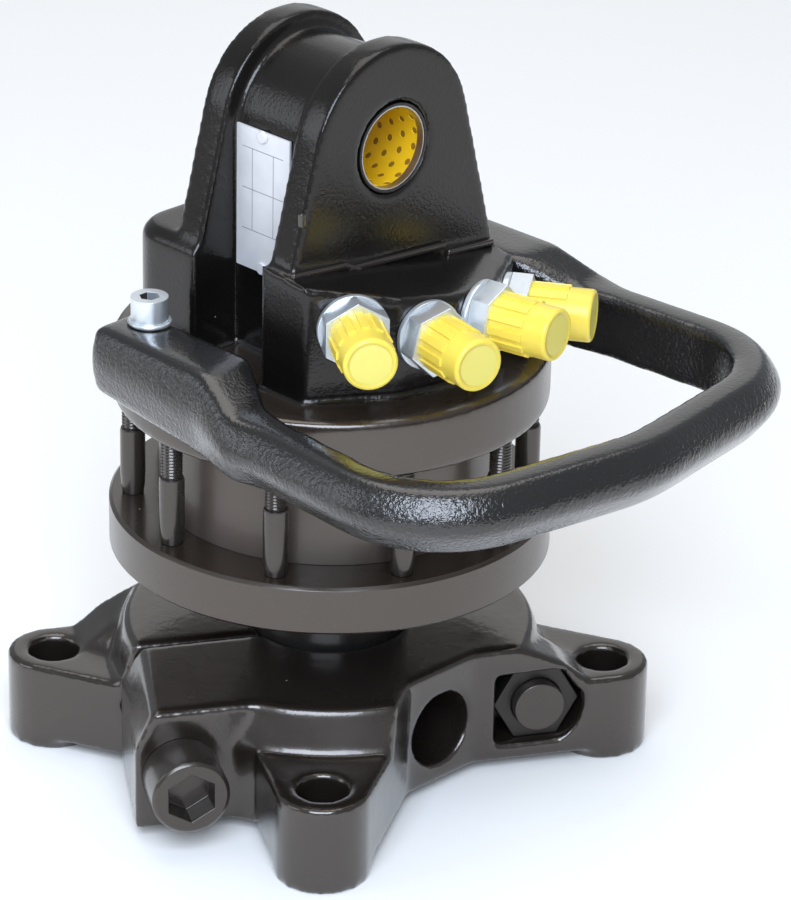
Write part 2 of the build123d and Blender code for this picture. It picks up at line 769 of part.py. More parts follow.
with BuildPart() as head_casting:
    with BuildSketch(Plane.XY.offset(ring_top)):
        Circle(head_flange_radius)
    extrude(amount=head_flange_height)
    chamfer(head_casting.edges().filter_by(GeomType.CIRCLE), flange_chamfer)
    # Port block with four facets and a top that falls away to the right
    with BuildSketch(Plane.XY.offset(head_top)):
        with BuildLine():
            Polyline(
                (-head_half_width, -rim_inner),
                (-head_half_width, side_corner_y),
                facet_corner(-middle_turn, half_step),
                facet_corner(0, port_angles[2]),
                facet_corner(middle_turn, half_step),
                (head_half_width, side_corner_y),
                (head_half_width, -rim_inner),
                close=True,
            )
        make_face()
    extrude(amount=eye_rise)
    block_top = Plane(
        (0, -lug_half_length, head_top + block_rise),
        z_dir=(block_side_slope, -block_front_slope, 1),
    )
    split(bisect_by=block_top, keep=Keep.BOTTOM)
    # Rear block
    with BuildSketch(Plane.XY.offset(head_top)):
        with BuildLine():
            FilletPolyline(
                (-head_half_width, rim_inner),
                (-head_half_width, rear_block_reach),
                (head_half_width, rear_block_reach),
                (head_half_width, rim_inner),
                radius=rear_block_corner,
            )
            Line((head_half_width, rim_inner), (-head_half_width, rim_inner))
        make_face()
    extrude(amount=rear_block_rise)
    rear_top = head_casting.faces().sort_by(Axis.Z)[-1]
    chamfer(rear_top.edges().filter_by(lambda edge: edge.center().Y > rim_inner + 0.1), rear_block_chamfer)
    # Lug: two rims with leaning flanks, joined by a narrower web
    for start, depth in ((lug_half_length, rim_thickness), (-rim_inner, rim_thickness)):
        with BuildSketch(Plane.XZ.offset(start)):
            with BuildLine():
                Polyline((flank_x, flank_z), (lug_foot, head_top), (-lug_foot, head_top), (-flank_x, flank_z))
                ThreePointArc((-flank_x, flank_z), (0, eye_height + lug_radius), (flank_x, flank_z))
            make_face()
            with Locations((0, eye_height)):
                Rectangle(2 * head_half_width, 2 * eye_rise, mode=Mode.INTERSECT)
        extrude(amount=-depth)
    with BuildSketch(Plane.XZ.offset(rim_inner)):
        with Locations((0, (head_top + eye_height) / 2)):
            Rectangle(2 * web_half_width, eye_rise)
        with Locations((0, eye_height)):
            Circle(web_half_width)
    extrude(amount=-2 * rim_inner)
    web_foot = head_casting.edges().filter_by(
        lambda edge: abs(edge.center().Y + rim_inner) < web_round / 10
        and abs(abs(edge.position_at(0.5).X) - web_half_width) < web_round / 10
    )
    fillet(web_foot, web_round)
    # Eye for the link pin's bush
    with BuildSketch(Plane.XZ.offset(lug_half_length)):
        with Locations((0, eye_height)):
            Circle(bush_outer_radius + fit_gap)
    extrude(amount=-2 * lug_half_length, mode=Mode.SUBTRACT)
    # Bores for the thrust washer, the bush and the swivel spigot
    with BuildSketch(Plane.XY.offset(ring_top)):
        Circle(thrust_outer + fit_gap)
    extrude(amount=thrust_thickness, mode=Mode.SUBTRACT)
    with BuildSketch(Plane.XY.offset(ring_top)):
        Circle(bush_radius + fit_gap)
    extrude(amount=neck_top + seat_gap - ring_top, mode=Mode.SUBTRACT)
    with BuildSketch(Plane.XY.offset(ring_top)):
        Circle(spigot_radius + running_gap)
    extrude(amount=spigot_top + seat_gap - ring_top, mode=Mode.SUBTRACT)
    # Hose ports: the outer two feed the swivel, the inner two the vane motor
    for index in range(len(port_angles)):
        with BuildSketch(port_plane(index).offset(-port_depth)):
            Circle(port_radius)
        extrude(amount=port_depth + washer_thickness, mode=Mode.SUBTRACT)
    for index in (0, 3):
        with BuildSketch(port_plane(index).offset(-port_depth)):
            Circle(feed_radius)
        extrude(amount=-(facet_reach - port_depth - spigot_radius / 2), mode=Mode.SUBTRACT)
    for index in (1, 2):
        drop = port_plane(index).offset(-port_depth + feed_radius).origin
        with BuildSketch(Plane.XY.offset(ring_top)):
            with Locations((drop.X, drop.Y)):
                Circle(drop_radius)
        extrude(amount=drop.Z - ring_top, mode=Mode.SUBTRACT)
    # Tapped holes for the tie bolts and guard screws, and dowel holes
    with BuildSketch(Plane.XY.offset(ring_top)):
        with tie_bolt_spots():
            Circle(tie_bolt_diameter / 2 + thread_gap)
    extrude(amount=tie_bolt_bite + overrun, mode=Mode.SUBTRACT)
    with BuildSketch(Plane.XY.offset(ring_top)):
        with Locations((dowel_circle / 2, 0), (-dowel_circle / 2, 0)):
            Circle(dowel_radius + fit_gap)
    extrude(amount=dowel_bite, mode=Mode.SUBTRACT)
    with BuildSketch(Plane.XY.offset(head_top)):
        with Locations((-guard_screw_x, guard_screw_y), (guard_screw_x, guard_screw_y)):
            Circle(guard_screw_diameter / 2 + thread_gap)
    extrude(amount=-guard_screw_bite, mode=Mode.SUBTRACT)
    # Rivet holes for the nameplate
    plate_centre = eye_height - plate_drop
    rivet_rise = plate_height / 2 - rivet_inset
    rivet_face = Plane((-web_half_width, plate_shift, plate_centre), x_dir=(0, -1, 0), z_dir=(-1, 0, 0))
    with BuildSketch(rivet_face):
        with Locations((0, rivet_rise), (0, -rivet_rise)):
            Circle(rivet_radius + fit_gap)
    extrude(amount=-rivet_length, mode=Mode.SUBTRACT)
export(head_casting, "head_casting")

with BuildPart() as pin_bush:
    with BuildSketch(Plane.XZ.offset(lug_half_length)):
        with Locations((0, eye_height)):
            Circle(bush_outer_radius)
            Circle(eye_radius, mode=Mode.SUBTRACT)
    extrude(amount=-2 * lug_half_length)
export(pin_bush, "pin_bush")

with BuildPart() as nameplate:
    with BuildSketch(rivet_face):
        Rectangle(plate_width, plate_height)
        with Locations((0, rivet_rise), (0, -rivet_rise)):
            Circle(rivet_radius + fit_gap, mode=Mode.SUBTRACT)
    extrude(amount=plate_thickness)
export(nameplate, "nameplate")

with BuildPart() as nameplate_rivets:
    with BuildSketch(rivet_face.offset(-rivet_length)):
        with Locations((0, rivet_rise), (0, -rivet_rise)):
            Circle(rivet_radius)
    extrude(amount=rivet_length + plate_thickness)
    with BuildSketch(rivet_face.offset(plate_thickness)):
        with Locations((0, rivet_rise), (0, -rivet_rise)):
            Circle(rivet_head_radius)
    extrude(amount=rivet_head_height, taper=rivet_head_taper)
export(nameplate_rivets, "nameplate_rivets")

# Port adapters, their sealing washers and the dust caps
with BuildPart() as port_washers:
    for index in range(len(port_angles)):
        with BuildSketch(port_plane(index)):
            Circle(washer_radius)
            Circle(port_radius, mode=Mode.SUBTRACT)
        extrude(amount=washer_thickness)
export(port_washers, "port_washers")

adapter_thread = port_radius - thread_gap
hex_top = washer_thickness + adapter_hex_height
adapter_end = hex_top + cap_length - cap_roof - adapter_cap_room
for index, hex_turn in enumerate(adapter_turns):
    with BuildPart() as port_adapter:
        with BuildSketch(port_plane(index).offset(adapter_thread_start - port_depth)):
            Circle(adapter_thread)
        extrude(amount=port_depth - adapter_thread_start + adapter_end)
        with BuildSketch(port_plane(index).offset(washer_thickness)):
            RegularPolygon(adapter_width / 2, 6, major_radius=False, rotation=hex_turn)
        extrude(amount=adapter_hex_height)
        with BuildSketch(port_plane(index).offset(adapter_thread_start - port_depth)):
            Circle(adapter_bore)
        extrude(amount=port_depth + hex_top + cap_length, mode=Mode.SUBTRACT)
    export(port_adapter, f"port_adapter_{index + 1}")

    with BuildPart() as dust_cap:
        cap_plane = port_plane(index).offset(hex_top)
        with BuildSketch(cap_plane):
            Circle(cap_radius - cap_rib_height)
            with PolarLocations(cap_radius - cap_rib_height, cap_ribs):
                Rectangle(2 * cap_rib_height, cap_rib_width)
        extrude(amount=cap_grip_length)
        with BuildSketch(cap_plane):
            Circle(cap_nose_radius)
        extrude(amount=cap_length)
        nose = dust_cap.faces().sort_by(Axis((0, 0, 0), cap_plane.z_dir))[-1]
        fillet(nose.edges(), cap_nose_round)
        with BuildSketch(cap_plane):
            Circle(adapter_thread + cap_gap)
        extrude(amount=cap_length - cap_roof, mode=Mode.SUBTRACT)
    export(dust_cap, f"dust_cap_{index + 1}")

# Hose guard: one forging, two pads on the head's flange and a bow round the hoses
bow_top = head_top + guard_bow_top
bow_bottom = bow_top - guard_bow_height
pad_top = head_top + guard_pad_height
start_x, start_y = guard_bow_start
corner_x, corner_y = guard_bow_corner


def guard_section(plane, ridge, bulge, foot, top, bottom):
    """Section of the guard: upright inner wall, flat top and rounded, bulged outer side."""
    with BuildSketch(plane) as section:
        with BuildLine():
            Polyline(
                (0, bottom),
                (0, top),
                (ridge, top),
                (bulge, (top + bottom) / 2 + guard_bulge_rise),
                (foot, bottom),
                close=True,
            )
        make_face()
        for spot, radius in (
            ((ridge, top), guard_edge_round),
            ((bulge, (top + bottom) / 2 + guard_bulge_rise), guard_bulge_round),
            ((foot, bottom), guard_foot_round),
        ):
            fillet(section.vertices().sort_by_distance(spot)[0], radius)
    return section.sketch


# The bow's section stands square to its path where the path leaves the pad
bow_run = Vector(start_x - corner_x, corner_y - start_y).normalized()
bow_plane = Plane((-start_x, start_y, 0), x_dir=(bow_run.Y, -bow_run.X, 0), z_dir=-bow_run)

with BuildPart() as guard_mount:
    rear_plane = Plane((-guard_pad_inner, guard_pad_rear, 0), x_dir=(-1, 0, 0), z_dir=(0, 1, 0))
    front_plane = Plane((-guard_pad_inner, guard_pad_front, 0), x_dir=(-1, 0, 0), z_dir=(0, 1, 0))
    slope_plane = Plane((-guard_slope_spot[0], guard_slope_spot[1], 0), x_dir=(-1, 0, 0), z_dir=(0, 1, 0))
    pad_ridge = guard_pad_outer - guard_pad_inner
    pad_bulge = pad_ridge + guard_pad_bulge
    pad_rear = guard_section(
        rear_plane, pad_ridge, pad_bulge, pad_ridge, pad_top, head_top - guard_lip_drop_rear
    )
    pad_front = guard_section(
        front_plane,
        pad_ridge + guard_pad_flare,
        pad_bulge + 2 * guard_pad_flare,
        pad_ridge + guard_pad_flare,
        pad_top,
        head_top - guard_lip_drop_front,
    )
    slope_end = guard_section(
        slope_plane,
        (guard_bow_ridge + pad_ridge + guard_pad_flare) / 2,
        (guard_bow_bulge + pad_bulge + guard_pad_flare) / 2,
        (guard_bow_foot + pad_ridge) / 2,
        bow_top,
        bow_bottom,
    )
    bow_end = guard_section(bow_plane, guard_bow_ridge, guard_bow_bulge, guard_bow_foot, bow_top, bow_bottom)
    loft([pad_rear, pad_front], ruled=True)
    loft([pad_front, slope_end], ruled=True)
    loft([slope_end, bow_end], ruled=True)

with BuildPart() as hose_guard:
    add(guard_mount.part)
    mirror(guard_mount.part, about=Plane.YZ)
    with BuildLine() as bow_path:
        FilletPolyline(
            (-start_x, start_y),
            (-corner_x, corner_y),
            (0, guard_bow_nose),
            (corner_x, corner_y),
            (start_x, start_y),
            radius=[guard_corner_radius, guard_nose_radius, guard_corner_radius],
        )
    sweep(bow_end, path=bow_path.wires()[0])
    # The pads sit on the flange and their lips follow its rim
    with BuildSketch(Plane.XY.offset(bow_bottom - overrun)):
        Circle(head_flange_radius + seat_gap)
    extrude(amount=head_top - bow_bottom + overrun, mode=Mode.SUBTRACT)
    with BuildSketch(Plane.XY.offset(head_top)):
        with Locations((-guard_screw_x, guard_screw_y), (guard_screw_x, guard_screw_y)):
            Circle(guard_screw_diameter / 2 + bolt_play)
    extrude(amount=guard_pad_height, mode=Mode.SUBTRACT)
export(hose_guard, "hose_guard")

with BuildPart() as guard_washers:
    with BuildSketch(Plane.XY.offset(pad_top)):
        with Locations((-guard_screw_x, guard_screw_y), (guard_screw_x, guard_screw_y)):
            Circle(guard_washer_radius)
            Circle(guard_screw_diameter / 2 + bolt_play, mode=Mode.SUBTRACT)
    extrude(amount=guard_washer_height)
export(guard_washers, "guard_washers")

with BuildPart() as guard_screws:
    screw_bottom = head_top - guard_screw_bite + seat_gap
    screw_shoulder = pad_top + guard_washer_height
    with BuildSketch(Plane.XY.offset(screw_bottom)):
        with Locations((-guard_screw_x, guard_screw_y), (guard_screw_x, guard_screw_y)):
            Circle(guard_screw_diameter / 2)
    extrude(amount=screw_shoulder - screw_bottom)
    with BuildSketch(Plane.XY.offset(screw_shoulder)):
        with Locations((-guard_screw_x, guard_screw_y), (guard_screw_x, guard_screw_y)):
            Circle(guard_screw_head / 2)
    extrude(amount=guard_screw_head_height)
    with BuildSketch(Plane.XY.offset(screw_shoulder + guard_screw_head_height / 2)):
        with Locations((-guard_screw_x, guard_screw_y), (guard_screw_x, guard_screw_y)):
            RegularPolygon(guard_screw_socket / 2, 6, major_radius=False)
    extrude(amount=guard_screw_head_height, mode=Mode.SUBTRACT)
export(guard_screws, "guard_screws")
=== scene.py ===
from math import atan2, cos, pi, radians, sin

import bmesh
import bpy
from mathutils import Matrix, Vector


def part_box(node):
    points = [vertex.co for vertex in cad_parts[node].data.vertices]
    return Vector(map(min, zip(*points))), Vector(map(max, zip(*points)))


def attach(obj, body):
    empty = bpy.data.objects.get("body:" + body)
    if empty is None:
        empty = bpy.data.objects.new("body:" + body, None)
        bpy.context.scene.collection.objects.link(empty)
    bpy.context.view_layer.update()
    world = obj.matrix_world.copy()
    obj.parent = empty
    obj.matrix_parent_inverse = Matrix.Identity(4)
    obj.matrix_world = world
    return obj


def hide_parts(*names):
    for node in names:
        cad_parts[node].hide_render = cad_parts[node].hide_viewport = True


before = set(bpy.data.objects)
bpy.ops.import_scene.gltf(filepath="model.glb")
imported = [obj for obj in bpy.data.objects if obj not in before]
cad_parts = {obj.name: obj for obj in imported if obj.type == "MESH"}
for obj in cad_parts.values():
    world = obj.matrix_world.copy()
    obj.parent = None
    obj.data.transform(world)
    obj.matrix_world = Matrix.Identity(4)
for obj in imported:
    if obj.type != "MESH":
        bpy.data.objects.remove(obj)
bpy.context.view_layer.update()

# Clamp hub: two identical steel castings that grip the splined end of the shaft. Each has
# two lobes with a mounting hole, a boss for one clamp screw and a pocket for the nut of
# the other, under a cast hood. Thick glossy black paint is brushed over and fills the grain.
clamp_turn = radians(30)


def merged_shape(node):
    """The frame's own shape as one closed skin with flat faces in one piece."""
    shape = bmesh.new()
    shape.from_mesh(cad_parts[node].data)
    bmesh.ops.remove_doubles(shape, verts=shape.verts, dist=2e-6)
    bmesh.ops.dissolve_limit(
        shape, angle_limit=radians(0.4), use_dissolve_boundaries=False,
        verts=shape.verts, edges=shape.edges,
    )
    return shape


def ease_edges(shape, width, segments=2, sharpest=25.0):
    """Rounds over the sharp edges of a turned, milled or moulded piece."""
    sharp = [
        edge for edge in shape.edges
        if len(edge.link_faces) == 2 and edge.calc_face_angle(0) >= radians(sharpest)
    ]
    bmesh.ops.bevel(
        shape, geom=sharp, offset=width, offset_type="OFFSET", segments=segments,
        profile=0.5, affect="EDGES", clamp_overlap=True, material=-1,
    )


def cast_skin(shape, grain, passes):
    """Melts the parts of a casting into one skin, with rounded edges and filled corners."""
    mould = bpy.data.meshes.new("mould")
    shape.to_mesh(mould)
    shape.free()
    holder = bpy.data.objects.new("mould", mould)
    bpy.context.scene.collection.objects.link(holder)
    melt = holder.modifiers.new("melt", "REMESH")
    melt.mode = "VOXEL"
    melt.voxel_size = grain
    graph = bpy.context.evaluated_depsgraph_get()
    melted = bpy.data.meshes.new_from_object(holder.evaluated_get(graph))
    bpy.data.objects.remove(holder)
    bpy.data.meshes.remove(mould)
    skin = bmesh.new()
    skin.from_mesh(melted)
    bpy.data.meshes.remove(melted)
    for _ in range(passes):
        bmesh.ops.smooth_vert(
            skin, verts=skin.verts, factor=0.5, use_axis_x=True, use_axis_y=True, use_axis_z=True
        )
    return skin


def show_piece(name, shape, body, finishes, nodes=()):
    """Turns a finished shape into a piece that rides on a body, with its flat faces flat."""
    mesh = bpy.data.meshes.new(name)
    for face in shape.faces:
        face.smooth = True
    for edge in shape.edges:
        edge.smooth = len(edge.link_faces) == 2 and edge.calc_face_angle(0) < radians(38)
    shape.to_mesh(mesh)
    shape.free()
    piece = bpy.data.objects.new(name, mesh)
    bpy.context.scene.collection.objects.link(piece)
    for finish in finishes:
        mesh.materials.append(finish)
    flat = piece.modifiers.new("flat_faces", "WEIGHTED_NORMAL")
    flat.keep_sharp = True
    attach(piece, body)
    if nodes:
        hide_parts(*nodes)
    return piece


def brushed_coat(name, colour, peel, depth, roughness, coat=0.3, calm_top=0.0, dust=0.04,
                shine=0.6):
    """A coat or moulded skin: peel is lumps per metre and depth how deep they go."""
    paint = bpy.data.materials.new(name)
    paint.use_nodes = True
    nodes = paint.node_tree.nodes
    links = paint.node_tree.links
    shader = nodes["Principled BSDF"]
    shader.inputs["Coat Weight"].default_value = coat
    shader.inputs["Coat Roughness"].default_value = 0.09
    shader.inputs["Specular IOR Level"].default_value = shine
    # The Specular Tint is a painted warm reflection: it warms whatever the coat mirrors, as a beige
    # floor would.
    shader.inputs["Specular Tint"].default_value = (1.0, 0.87, 0.77, 1)
    place = nodes.new("ShaderNodeTexCoord")
    # The coat dries thick and thin, which shifts its colour and gloss a little
    drift = nodes.new("ShaderNodeTexNoise")
    drift.inputs["Scale"].default_value = 34.0
    drift.inputs["Detail"].default_value = 4.0
    tint = nodes.new("ShaderNodeMix")
    tint.data_type = "RGBA"
    tint.inputs["A"].default_value = [part * 0.65 for part in colour] + [1]
    tint.inputs["B"].default_value = [part * 1.4 for part in colour] + [1]
    gloss = nodes.new("ShaderNodeMapRange")
    gloss.inputs["From Min"].default_value = 0.3
    gloss.inputs["From Max"].default_value = 0.7
    gloss.inputs["To Min"].default_value = roughness * 0.75
    gloss.inputs["To Max"].default_value = roughness * 1.3
    # A few grains of pale dust stick to the coat
    cells = nodes.new("ShaderNodeTexVoronoi")
    cells.inputs["Scale"].default_value = 170.0
    near = nodes.new("ShaderNodeMath")
    near.operation = "LESS_THAN"
    near.inputs[1].default_value = 0.045
    pick = nodes.new("ShaderNodeSeparateColor")
    few = nodes.new("ShaderNodeMath")
    few.operation = "LESS_THAN"
    few.inputs[1].default_value = dust
    grain = nodes.new("ShaderNodeMath")
    grain.operation = "MULTIPLY"
    dusty = nodes.new("ShaderNodeMix")
    dusty.data_type = "RGBA"
    dusty.inputs["B"].default_value = (0.4, 0.38, 0.35, 1)
    # Skin under the coat: rounded lumps with finer ones on them
    lumps = nodes.new("ShaderNodeTexNoise")
    lumps.inputs["Scale"].default_value = peel
    lumps.inputs["Detail"].default_value = 2.0
    lumps.inputs["Roughness"].default_value = 0.45
    lumps.inputs["Distortion"].default_value = 0.35
    fine = nodes.new("ShaderNodeTexNoise")
    fine.inputs["Scale"].default_value = peel * 2.7
    fine.inputs["Detail"].default_value = 1.0
    height = nodes.new("ShaderNodeMath")
    height.operation = "MULTIPLY_ADD"
    height.inputs[1].default_value = 0.3
    rise = nodes.new("ShaderNodeBump")
    rise.inputs["Distance"].default_value = depth
    # Faces that look up were ground or rubbed smoother before painting
    facing = nodes.new("ShaderNodeSeparateXYZ")
    calm = nodes.new("ShaderNodeMapRange")
    calm.inputs["From Min"].default_value = 0.7
    calm.inputs["From Max"].default_value = 0.95
    calm.inputs["To Min"].default_value = 1.0
    calm.inputs["To Max"].default_value = 1.0 - calm_top
    for texture in (drift, cells, lumps, fine):
        links.new(place.outputs["Object"], texture.inputs["Vector"])
    links.new(drift.outputs["Fac"], tint.inputs["Factor"])
    links.new(drift.outputs["Fac"], gloss.inputs["Value"])
    links.new(cells.outputs["Distance"], near.inputs[0])
    links.new(cells.outputs["Color"], pick.inputs["Color"])
    links.new(pick.outputs["Red"], few.inputs[0])
    links.new(near.outputs["Value"], grain.inputs[0])
    links.new(few.outputs["Value"], grain.inputs[1])
    links.new(grain.outputs["Value"], dusty.inputs["Factor"])
    links.new(tint.outputs["Result"], dusty.inputs["A"])
    links.new(dusty.outputs["Result"], shader.inputs["Base Color"])
    links.new(gloss.outputs["Result"], shader.inputs["Roughness"])
    links.new(fine.outputs["Fac"], height.inputs[0])
    links.new(lumps.outputs["Fac"], height.inputs[2])
    links.new(height.outputs["Value"], rise.inputs["Height"])
    links.new(place.outputs["Normal"], facing.inputs["Vector"])
    links.new(facing.outputs["Z"], calm.inputs["Value"])
    links.new(calm.outputs["Result"], rise.inputs["Strength"])
    links.new(rise.outputs["Normal"], shader.inputs["Normal"])
    links.new(rise.outputs["Normal"], shader.inputs["Coat Normal"])
    return paint


def nut_hood(shape, side):
    """The cast hood over the upper corner of a nut pocket, on one side of the hub."""
    along = Vector((-sin(clamp_turn), -cos(clamp_turn), 0)) * side
    across = Vector((cos(clamp_turn), -sin(clamp_turn), 0)) * side
    foot = [
        shape.verts.new(across * reach + along * hood_foot + Vector((0, 0, height)))
        for reach, height in hood_section
    ]
    end = shape.faces.new(foot)
    for step, keep in ((hood_back - hood_foot, True), (hood_front - hood_back, False)):
        grown = bmesh.ops.extrude_face_region(shape, geom=[end], use_keep_orig=keep)["geom"]
        end = [part for part in grown if isinstance(part, bmesh.types.BMFace)][0]
        bmesh.ops.translate(shape, verts=end.verts, vec=along * step)
    for corner in foot:
        if corner.co.z > lobe_top:
            corner.co.z = lobe_top + (corner.co.z - lobe_top) * hood_start
    bmesh.ops.recalc_face_normals(shape, faces=shape.faces)


hub_paint = brushed_coat(
    "hub_black_paint", (0.012, 0.0088, 0.007),
    peel=260, depth=0.00006, roughness=0.24, coat=0.6, shine=0.85,
)
lobe_top = 0.0289
# The hood rises from its foot beside the slit and runs out to the mouth of the pocket
hood_foot = 0.0105
hood_back = 0.0190
hood_front = 0.0366
hood_start = 0.05
hood_section = (
    (0.0500, 0.0416), (0.0560, 0.0412), (0.0662, 0.0359), (0.0745, 0.0291),
    (0.0745, 0.0262), (0.0712, 0.0262), (0.0663, 0.0336), (0.0500, 0.0336),
)
for hub_node, side in (("hub_half_front", 1), ("hub_half_rear", -1)):
    hub = merged_shape(hub_node)
    nut_hood(hub, side)
    hub = cast_skin(hub, grain=0.00105, passes=6)
    show_piece(hub_node + "_cast", hub, "rotor", [hub_paint], [hub_node])

# Clamp screws and nuts: M16 socket screws with a 14 mm key, one from each side, and the
# hexagon nuts sunk in their pockets. Forged, turned and dipped in black oxide, then
# caught by the same coat of paint as the hub.
screw_paint = brushed_coat(
    "screw_black_paint", (0.02, 0.016, 0.0135),
    peel=420, depth=0.00003, roughness=0.27, coat=0.3, shine=0.8,
)
clamp_bolts = merged_shape("clamp_bolts")
ease_edges(clamp_bolts, 0.0007, segments=3)
show_piece("clamp_screws", clamp_bolts, "rotor", [screw_paint], ["clamp_bolts"])
clamp_nuts = merged_shape("clamp_nuts")
ease_edges(clamp_nuts, 0.0006)
nut_black = brushed_coat(
    "nut_black", (0.008, 0.0075, 0.007),
    peel=420, depth=0.00003, roughness=0.4, coat=0.1,
)
show_piece("clamp_nuts_hex", clamp_nuts, "rotor", [nut_black], ["clamp_nuts"])

# Rotor shaft: one turned and milled steel piece. The neck between the hub and the lower
# flange is blackened, the rotor and the spigot are ground where they run, and two turned
# steel plugs close the drillings in its foot.


def bare_metal(name, colour, roughness, streaks, depth, metallic=1.0):
    """Bare or plated metal with a fine turned or tumbled skin; streaks are per metre."""
    metal = bpy.data.materials.new(name)
    metal.use_nodes = True
    nodes = metal.node_tree.nodes
    links = metal.node_tree.links
    shader = nodes["Principled BSDF"]
    shader.inputs["Metallic"].default_value = metallic
    place = nodes.new("ShaderNodeTexCoord")
    stretch = nodes.new("ShaderNodeMapping")
    stretch.inputs["Scale"].default_value = (1.0, 1.0, 4.0)
    cloud = nodes.new("ShaderNodeTexNoise")
    cloud.inputs["Scale"].default_value = 90.0
    cloud.inputs["Detail"].default_value = 3.0
    tint = nodes.new("ShaderNodeMix")
    tint.data_type = "RGBA"
    tint.inputs["A"].default_value = [part * 0.82 for part in colour] + [1]
    tint.inputs["B"].default_value = [min(1.0, part * 1.15) for part in colour] + [1]
    lines = nodes.new("ShaderNodeTexNoise")
    lines.inputs["Scale"].default_value = streaks
    lines.inputs["Detail"].default_value = 3.0
    lines.inputs["Roughness"].default_value = 0.6
    gloss = nodes.new("ShaderNodeMapRange")
    gloss.inputs["To Min"].default_value = roughness * 0.6
    gloss.inputs["To Max"].default_value = roughness * 1.5
    rise = nodes.new("ShaderNodeBump")
    rise.inputs["Distance"].default_value = depth
    links.new(place.outputs["Object"], cloud.inputs["Vector"])
    links.new(place.outputs["Object"], stretch.inputs["Vector"])
    links.new(stretch.outputs["Vector"], lines.inputs["Vector"])
    links.new(cloud.outputs["Fac"], tint.inputs["Factor"])
    links.new(tint.outputs["Result"], shader.inputs["Base Color"])
    links.new(lines.outputs["Fac"], gloss.inputs["Value"])
    links.new(gloss.outputs["Result"], shader.inputs["Roughness"])
    links.new(lines.outputs["Fac"], rise.inputs["Height"])
    links.new(rise.outputs["Normal"], shader.inputs["Normal"])
    return metal


def refinish(finish, *node_names):
    """Gives nodes whose shape is kept as it is their own finish."""
    for node in node_names:
        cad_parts[node].data.materials.clear()
        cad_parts[node].data.materials.append(finish)


neck_steel = brushed_coat(
    "neck_black_paint", (0.02, 0.019, 0.018),
    peel=500, depth=0.00002, roughness=0.3, coat=0.4,
)
rotor_shaft = merged_shape("rotor_shaft")
ease_edges(rotor_shaft, 0.00015, segments=1)
show_piece("turned_shaft", rotor_shaft, "rotor", [neck_steel], ["rotor_shaft"])
plug_steel = bare_metal(
    "plug_steel", (0.42, 0.42, 0.43),
    roughness=0.34, streaks=700, depth=0.00001,
)
refinish(plug_steel, "shaft_plugs")

# Lower flange: a turned steel disc with the bearing bush, the thrust washer and the wiper
# pressed into it, sprayed in the same black as the rest.
# The brown tone of this black is partly the paint's own and partly a painted warm reflection of the
# floor on the rims.
flange_paint = brushed_coat(
    "flange_black_paint", (0.021, 0.0145, 0.0105),
    peel=300, depth=0.00002, roughness=0.27, coat=0.3, shine=1.0,
)
lower_flange = merged_shape("lower_flange")
ease_edges(lower_flange, 0.0003)
show_piece(
    "turned_lower_flange", lower_flange, "head", [flange_paint], ["lower_flange"]
)
bearing_bronze = bare_metal(
    "bearing_bronze", (0.62, 0.43, 0.2),
    roughness=0.32, streaks=800, depth=0.00001,
)
refinish(bearing_bronze, "lower_bush", "lower_thrust_washer", "upper_bush", "upper_thrust_washer")
seal_rubber = brushed_coat(
    "seal_rubber", (0.025, 0.025, 0.025),
    peel=900, depth=0.00001, roughness=0.5, coat=0.0,
)
refinish(seal_rubber, "wiper_seal", "ring_seals", "swivel_seals")

# Cam ring: the round wall of the motor, turned outside and ground to an oval inside, with
# a more matt coat of paint. Two ground dowel pins hold it in line with the flanges.
ring_paint = brushed_coat(
    "ring_black_paint", (0.055, 0.042, 0.034),
    peel=420, depth=0.00003, roughness=0.42, coat=0.2, shine=1.0,
)
cam_ring = merged_shape("cam_ring")
ease_edges(cam_ring, 0.0003)
show_piece("turned_cam_ring", cam_ring, "head", [ring_paint], ["cam_ring"])
refinish(plug_steel, "dowel_pins")

# Vanes and their leaf springs, in the slots of the rotor: hardened and ground steel
# blades, and blued strips of spring steel that push them out against the cam ring.
vane_steel = bare_metal(
    "vane_steel", (0.5, 0.5, 0.51),
    roughness=0.28, streaks=900, depth=0.00001,
)
refinish(vane_steel, "vanes")
spring_blue = bare_metal(
    "spring_blue", (0.2, 0.23, 0.33),
    roughness=0.3, streaks=900, depth=0.00001,
)
refinish(spring_blue, "vane_springs")

# Head: upper flange, slotted lug for the crane's link pin, port block and rear block in
# one iron casting. Its cast skin shows through the paint as fine peel, the corners between
# its parts are filled, and thin ridges of flash stand at the lug's foot and on its edge. The
# flange is turned and sprayed like the lower one.
head_top = 0.139
flange_seam = 0.0004
eye_height = 0.206
lug_half = 0.025
cast_paint = brushed_coat(
    "cast_black_paint", (0.0058, 0.0047, 0.0041),
    peel=950, depth=0.00007, roughness=0.26, coat=0.5, calm_top=0.35, shine=0.25,
)
head = cast_skin(merged_shape("head_casting"), grain=0.00104, passes=7)
for face in head.faces:
    if face.calc_center_median().z < head_top + flange_seam:
        face.material_index = 1
show_piece(
    "head_cast", head, "head", [cast_paint, flange_paint], ["head_casting"]
)

